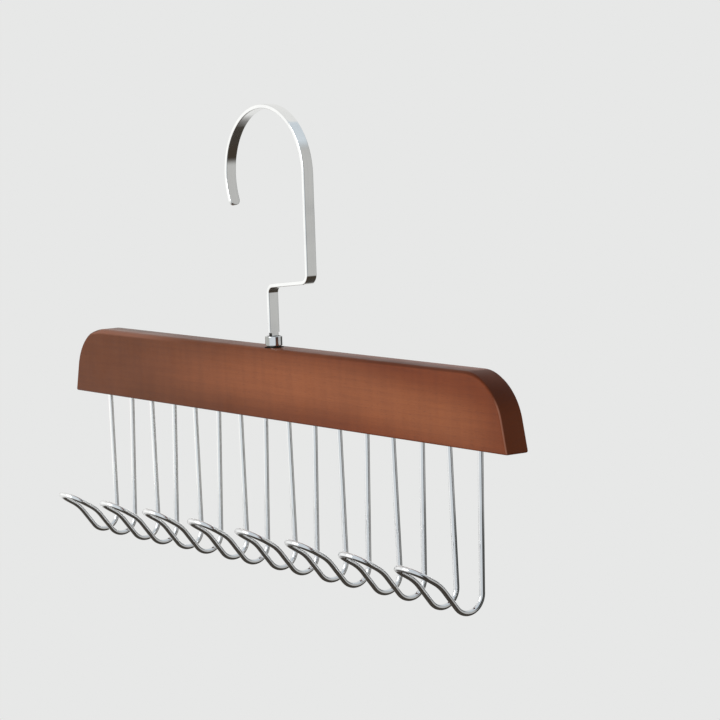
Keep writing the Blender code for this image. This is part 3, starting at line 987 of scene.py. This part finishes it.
def drillLegHoles(piece):
    # sixteen holes, each in line with its leg
    bar, wire = barValues, beltWire
    lean = math.atan((wire["legSpread"] - wire["throatSpread"]) / 2 / wire["throatDrop"])
    depth = bar["holeDepth"] + bar["overrun"]
    for number in range(len(wireSets)):
        low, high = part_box(f"belt_hook_{number + 1}")
        for side in (-1, 1):
            up = Vector((side * math.sin(lean), 0, math.cos(lean)))
            mouthX = (low.x + high.x) / 2 + side * wire["legSpread"] / 2
            middle = Vector((mouthX, 0, barUnderside)) + (bar["holeDepth"] - depth / 2) * up
            drill = addPrimitive(
                bpy.ops.mesh.primitive_cylinder_add, "drill", vertices=bar["holeSides"],
                radius=bar["hole"] / 2, depth=depth, location=middle, rotation=(0, side * lean, 0))
            bpy.ops.object.mode_set(mode="OBJECT")
            cutWith(piece, drill, "DIFFERENCE")


def drillForCollar(piece):
    bar = barValues
    recess, hole = bar["recess"] / 2, bar["collarHole"] / 2
    above, ledge = barTop + bar["overrun"], barTop - bar["recessDepth"]
    bottom = barTop - bar["collarHoleDepth"]
    cutter = turnProfile("spotFace", [
        (0, above), (recess, above), (recess, ledge), (hole, ledge), (hole, bottom), (0, bottom)],
        bar["recessSides"])
    cutWith(piece, cutter, "DIFFERENCE")


def cutBar():
    bar = barValues
    size = barHigh - barLow
    middle = (barHigh + barLow) / 2
    piece = addSized(bpy.ops.mesh.primitive_cube_add, "lacquered_bar", middle, size)
    lean = math.radians(bar["leanDeg"])
    for side in (-1, 1):  # the ends lean in towards the top
        pick("VERT", lambda vert: vert.co.z > middle.z and vert.co.x * side > 0)
        bpy.ops.transform.translate(value=(-side * size.z * math.tan(lean), 0, 0))

    def topCorner(edge):
        first, second = edge.verts[0].co, edge.verts[1].co
        across = abs(first.x - second.x) < bar["nearCorner"]
        return across and min(first.z, second.z) > middle.z

    def outlineOrFoot(edge):
        first, second = edge.verts[0].co, edge.verts[1].co
        if abs(first.y - second.y) < bar["nearEdge"]:
            return True
        across = abs(first.x - second.x) < bar["nearCorner"]
        return across and max(first.z, second.z) < barUnderside + bar["nearEdge"]

    pick("EDGE", topCorner)
    reach = bar["corner"] * math.tan((math.pi / 2 - lean) / 2)
    bpy.ops.mesh.bevel(
        offset=reach, segments=bar["cornerSteps"], profile=bar["cornerBlend"], affect="EDGES")
    bpy.ops.object.mode_set(mode="OBJECT")
    corners = sorted({
        (round(vert.co.x, 6), round(vert.co.z, 6)) for vert in piece.data.vertices
        if vert.co.z > barTop - bar["runsOut"]})
    bpy.ops.object.mode_set(mode="EDIT")
    pick("EDGE", outlineOrFoot)
    bpy.ops.mesh.bevel(offset=bar["edgeRound"], segments=bar["edgeSteps"], affect="EDGES")
    widenTopEdges(corners)
    cleanUp()
    drillLegHoles(piece)
    drillForCollar(piece)
    softShading(piece, bar["smoothDeg"])
    dress(piece, "bar", ["wooden_bar"], lacqueredWood)


cutBar()
print("bar cut and drilled")


roomLight = {
    "backdrop": (0.80, 0.805, 0.80, 1), "dark": (0.045, 0.042, 0.038, 1),
    "floor": (0.05, 0.04, 0.03, 1), "floorSlope": (-0.42, -0.14),
    # what bright metal sees round it: compass angle, half width and softness in degrees, lowest and
    # highest slope with their softness, color
    "patches": [
        (-58, 42, 6, -0.36, 0.60, 0.10, (0.70, 0.74, 0.77, 1)),  # cool, to the front
        (43, 20, 4, -0.34, 0.60, 0.10, (0.50, 0.50, 0.49, 1)),  # gray, to the right
        (180, 83, 4, -1.50, 1.50, 0.10, (0.80, 0.80, 0.79, 1)),  # pale, to the left
        (-140, 26, 14, -0.30, 0.45, 0.20, (1.05, 1.05, 1.04, 1)),  # brightest, at the front left
    ],
    "ceiling": (0.64, 0.70, 0.75, 1), "ceilingSlope": (0.30, 0.72),
}


def makeWorld():
    world = bpy.data.worlds.new("studio")
    bpy.context.scene.world = world
    world.use_nodes = True
    tree = world.node_tree
    output = tree.nodes["World Output"]
    room = tree.nodes["Background"]
    way = addNode(tree, "ShaderNodeTexCoord").outputs["Generated"]
    slope = splitAxes(tree, way)["Z"]
    level = vectorMath(tree, "MULTIPLY", way, (1, 1, 0)).outputs["Vector"]
    compass = vectorMath(tree, "NORMALIZE", level).outputs["Vector"]
    aboveFloor = rangeNode(tree, slope, *roomLight["floorSlope"])
    light = mixColor(tree, aboveFloor, roomLight["floor"], roomLight["dark"])
    overhead = rangeNode(tree, slope, *roomLight["ceilingSlope"])
    light = mixColor(tree, overhead, light, roomLight["ceiling"])
    for angle, half, soft, low, high, slopeSoft, color in roomLight["patches"]:
        outer, inner = math.cos(math.radians(half + soft)), math.cos(math.radians(half - soft))
        across = rangeNode(tree, alongCompass(tree, compass, angle), outer, inner)
        above = rangeNode(tree, slope, low - slopeSoft, low + slopeSoft)
        below = rangeNode(tree, slope, high - slopeSoft, high + slopeSoft, 1.0, 0.0)
        light = mixColor(tree, product(tree, above, below, across), light, color)
    tree.links.new(light, room.inputs["Color"])
    # the camera sees a plain backdrop in its place
    backdrop = feed(tree, addNode(tree, "ShaderNodeBackground"), Color=roomLight["backdrop"])
    path = addNode(tree, "ShaderNodeLightPath")
    blend = addNode(tree, "ShaderNodeMixShader")
    tree.links.new(path.outputs["Is Camera Ray"], blend.inputs[0])
    tree.links.new(room.outputs[0], blend.inputs[1])
    tree.links.new(backdrop.outputs[0], blend.inputs[2])
    tree.links.new(blend.outputs[0], output.inputs["Surface"])


floorValues = {
    "drop": 0.26, "radius": 0.9, "sides": 96, "fade": (0.25, 0.62), "rough": 0.85,
    "color": (0.80, 0.80, 0.79, 1), "grainColor": (0.7, 0.7, 0.69, 1),
    "grain": 220.0, "grainDetail": 2.0, "grainShare": 0.06,
}


def makeFloor():
    low = cadBox[0].z - floorValues["drop"]
    bpy.ops.object.select_all(action="DESELECT")
    bpy.ops.mesh.primitive_circle_add(
        vertices=floorValues["sides"], radius=floorValues["radius"], fill_type="NGON",
        location=(0, 0, low))
    floor = bpy.context.object
    floor.name = "studio_floor"
    material, tree, shader = newMaterial("paleFloor")
    place = addNode(tree, "ShaderNodeTexCoord").outputs["Object"]
    fade = rangeNode(tree, vectorLength(tree, place), *floorValues["fade"], 1.0, 0.0)
    grain = noiseNode(tree, place, floorValues["grain"], floorValues["grainDetail"])
    grain = product(tree, grain, floorValues["grainShare"])
    color = mixColor(tree, grain, floorValues["color"], floorValues["grainColor"])
    mirrored = addNode(tree, "ShaderNodeLightPath").outputs["Is Glossy Ray"]
    color = mixColor(tree, mirrored, color, roomLight["floor"])
    feed(tree, shader, BaseColor=color, Roughness=floorValues["rough"], Alpha=fade)
    floor.data.materials.append(material)


softKey = {
    "at": (-0.15, -1.35, 0.40), "size": 0.9, "power": 8.5, "color": (1.0, 0.985, 0.96),
}


def makeLamp():
    data = bpy.data.lights.new("softKey", "AREA")
    data.shape = "DISK"
    data.size = softKey["size"]
    data.energy = softKey["power"]
    data.color = softKey["color"]
    lamp = bpy.data.objects.new("softKey", data)
    bpy.context.scene.collection.objects.link(lamp)
    lamp.location = softKey["at"]
    target = Vector((0, 0, (barTop + barUnderside) / 2))
    lamp.rotation_euler = (target - lamp.location).to_track_quat("-Z", "Y").to_euler()


cameraValues = {
    "azimuthDeg": 54.016, "elevationDeg": 6.187, "rollDeg": 1.905, "distance": 1.20023,
    "aim": (0.02315, 0.03189, -0.11737), "lens": 129.671,
}


def makeCamera():
    values = cameraValues
    azimuth, elevation, roll = (
        math.radians(values[key]) for key in ("azimuthDeg", "elevationDeg", "rollDeg"))
    back = Vector((
        math.sin(azimuth) * math.cos(elevation), -math.cos(azimuth) * math.cos(elevation),
        math.sin(elevation)))
    data = bpy.data.cameras.new("photoView")
    data.lens = values["lens"]
    camera = bpy.data.objects.new("photoView", data)
    bpy.context.scene.collection.objects.link(camera)
    turn = (-back).to_track_quat("-Z", "Y").to_matrix() @ Matrix.Rotation(-roll, 3, "Z")
    place = Vector(values["aim"]) + values["distance"] * back
    camera.matrix_world = Matrix.Translation(place) @ turn.to_4x4()
    bpy.context.scene.camera = camera


makeWorld()
makeFloor()
makeLamp()
makeCamera()
bpy.context.scene.view_settings.view_transform = "Standard"
print("studio set")
